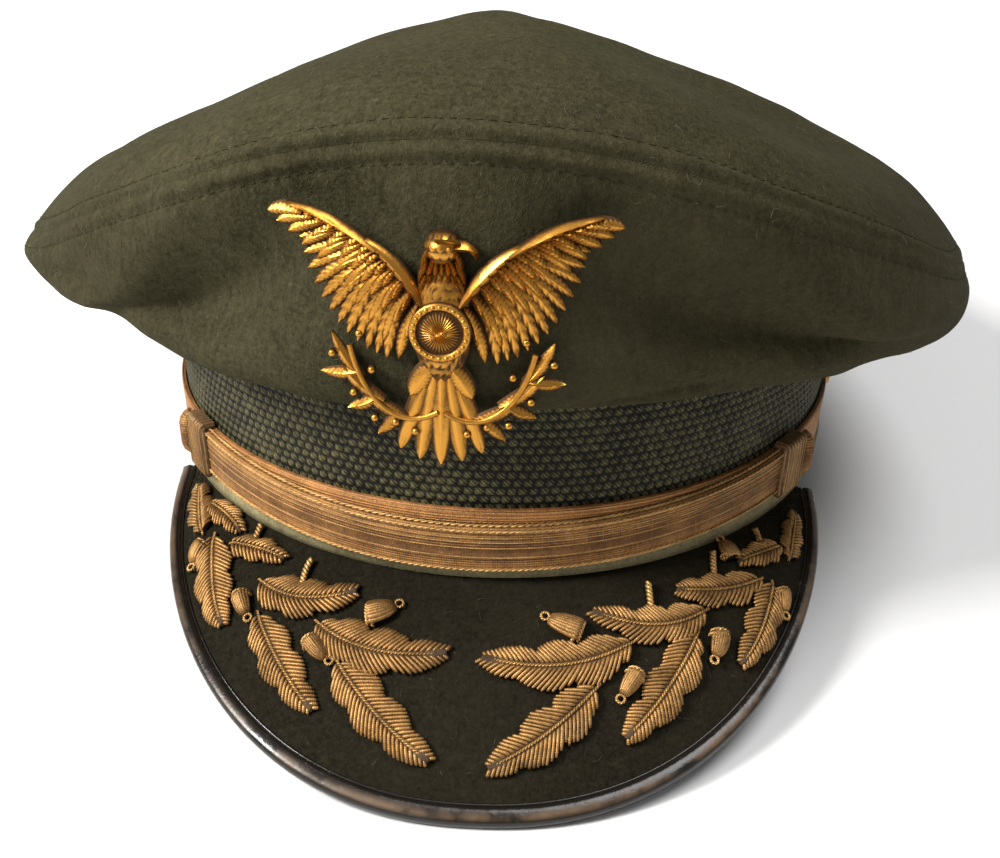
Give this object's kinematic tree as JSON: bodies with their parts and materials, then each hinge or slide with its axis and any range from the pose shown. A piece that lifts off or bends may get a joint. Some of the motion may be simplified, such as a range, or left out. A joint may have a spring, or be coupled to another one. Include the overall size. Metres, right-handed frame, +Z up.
{
  "type": "peaked officer's service cap",
  "caption": "Soft wool service cap with a high front peak and drooping sides, braid band, lace chin strap, embroidered cloth visor and gilt badge.",
  "frame": {"origin": "centre of the bounding box in plan, on the surface that the cap rests on", "axes": "+Z up, the visor points to -Y, +X to the wearer's left"},
  "size_m": [0.2486, 0.2854, 0.1457],
  "materials": {
    "crown_wool": "fulled wool cloth",
    "band_braid": "basket-woven braid",
    "base_felt": "felt",
    "strap_lace": "gold lace with twisted cord edges",
    "visor_cloth": "stiffened wool cloth",
    "binding_patent": "glossy patent",
    "gilt": "gilt stamping",
    "visor_bullion": "padded gold bullion embroidery"
  },
  "bodies": {
    "root": {"acorn_left_1": "visor_bullion", "acorn_left_2": "visor_bullion", "acorn_left_3": "visor_bullion", "acorn_left_4": "visor_bullion", "acorn_left_5": "visor_bullion", "acorn_right_1": "visor_bullion", "acorn_right_2": "visor_bullion", "acorn_right_3": "visor_bullion", "acorn_right_4": "visor_bullion", "badge": "gilt", "badge_post": "gilt", "base_welt": "base_felt", "cap_band": "band_braid", "crown_side": "crown_wool", "crown_top": "crown_wool", "leaf_left_1": "visor_bullion", "leaf_left_2": "visor_bullion", "leaf_left_3": "visor_bullion", "leaf_left_4": "visor_bullion", "leaf_left_5": "visor_bullion", "leaf_left_6": "visor_bullion", "leaf_left_7": "visor_bullion", "leaf_left_8": "visor_bullion", "leaf_right_1": "visor_bullion", "leaf_right_2": "visor_bullion", "leaf_right_3": "visor_bullion", "leaf_right_4": "visor_bullion", "leaf_right_5": "visor_bullion", "leaf_right_6": "visor_bullion", "leaf_right_7": "visor_bullion", "leaf_right_8": "visor_bullion", "side_button_left": "gilt", "side_button_right": "gilt", "strap_back": "strap_lace", "strap_front": "strap_lace", "strap_slide_left": "strap_lace", "strap_slide_right": "strap_lace", "twig_left_1": "visor_bullion", "twig_left_2": "visor_bullion", "twig_left_3": "visor_bullion", "twig_right_1": "visor_bullion", "twig_right_2": "visor_bullion", "visor": "visor_cloth", "visor_binding": "binding_patent"}
  },
  "joints": []
}
